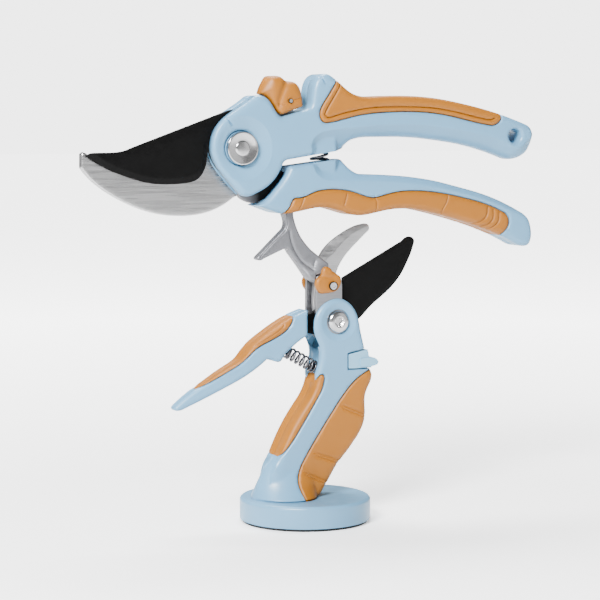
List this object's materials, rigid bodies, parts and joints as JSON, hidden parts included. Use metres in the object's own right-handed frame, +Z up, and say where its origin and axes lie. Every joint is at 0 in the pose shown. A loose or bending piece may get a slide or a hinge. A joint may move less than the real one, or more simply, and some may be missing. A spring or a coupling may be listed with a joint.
{
  "type": "pruning shears",
  "caption": "Bypass pruning shears with a thumb latch, lying on the cradle arm of a stand made as a small pair of shears on a round weighted foot.",
  "frame": {"origin": "centre of the foot's underside", "axes": "+Z up, +X towards the handles of the large shears, the pivot bolts' heads face -Y"},
  "size_m": [0.2152, 0.058, 0.197],
  "materials": {
    "blue_body": "satin powder blue moulding",
    "pale_blue": "smooth pale blue moulding",
    "soft_grip": "soft matt elastomer",
    "coated_blade": "matt black non-stick coating on steel",
    "brushed_blade": "ground steel with brush marks",
    "cast_grey": "bead-blasted casting",
    "bright_steel": "turned and polished",
    "spring_steel": "drawn wire",
    "inner_steel": "zinc-plated steel, hidden",
    "black_rubber": "matt black"
  },
  "bodies": {
    "stand": {"foot_shell": "blue_body", "foot_weight": "inner_steel", "foot_plate": "inner_steel", "foot_pad": "black_rubber", "foot_screws": "bright_steel", "stand_handle_front": "blue_body", "stand_handle_back": "blue_body", "stand_grip_left": "soft_grip", "stand_grip_right": "soft_grip", "stand_handle_screws": "bright_steel", "counter_blade": "brushed_blade", "side_plate_front": "cast_grey", "side_plate_back": "cast_grey", "stand_pivot_screw": "bright_steel", "stand_pivot_nut": "bright_steel", "stand_pivot_spacers": "bright_steel", "clamp_front": "soft_grip", "clamp_back": "soft_grip", "clamp_screw": "bright_steel", "clamp_nut": "bright_steel", "clamp_spacer": "bright_steel", "cradle_arm": "cast_grey", "stand_spring": "spring_steel", "spring_stud_stand": "bright_steel"},
    "lever": {"lever_front": "blue_body", "lever_back": "blue_body", "lever_grip": "soft_grip", "stand_cutting_blade": "coated_blade", "lever_rivets": "bright_steel", "spring_stud_lever": "bright_steel"},
    "lock": {"lock_bolt": "pale_blue"},
    "lower_arm": {"lower_handle_front": "blue_body", "lower_handle_back": "blue_body", "lower_grip": "soft_grip", "cutting_blade": "coated_blade", "lower_handle_screws": "bright_steel", "spring_stud_lower": "bright_steel", "main_spring": "spring_steel"},
    "upper_arm": {"upper_handle_front": "blue_body", "upper_handle_back": "blue_body", "upper_grip": "soft_grip", "hook_blade": "brushed_blade", "pivot_bolt": "bright_steel", "pivot_washer": "bright_steel", "pivot_nut": "bright_steel", "latch_pin": "bright_steel", "upper_handle_screws": "bright_steel", "spring_stud_upper": "bright_steel"},
    "latch_arm": {"latch": "soft_grip"}
  },
  "joints": [
    {"name": "shears_lift", "type": "slide", "parent": "stand", "child": "lower_arm", "axis": [0, 0, 1], "range_m": [0, 0.05]},
    {"name": "main_hinge", "type": "hinge", "parent": "lower_arm", "child": "upper_arm", "pos_m": [-0.033, 0, 0.165], "axis": [0, -1, 0], "range_deg": [0, 24], "deforming": ["main_spring"]},
    {"name": "latch_hinge", "type": "hinge", "parent": "upper_arm", "child": "latch_arm", "pos_m": [-0.01, 0, 0.1852], "axis": [0, 1, 0], "range_deg": [0, 10]},
    {"name": "lever_hinge", "type": "hinge", "parent": "stand", "child": "lever", "pos_m": [0.013, 0, 0.0884], "axis": [0, -1, 0], "range_deg": [0, 22], "stiffness_Nm_per_rad": 0.2, "springref_deg": -17.19, "deforming": ["stand_spring"]},
    {"name": "lock_slide", "type": "slide", "parent": "stand", "child": "lock", "axis": [0, 1, 0], "range_m": [0, 0.003]}
  ]
}
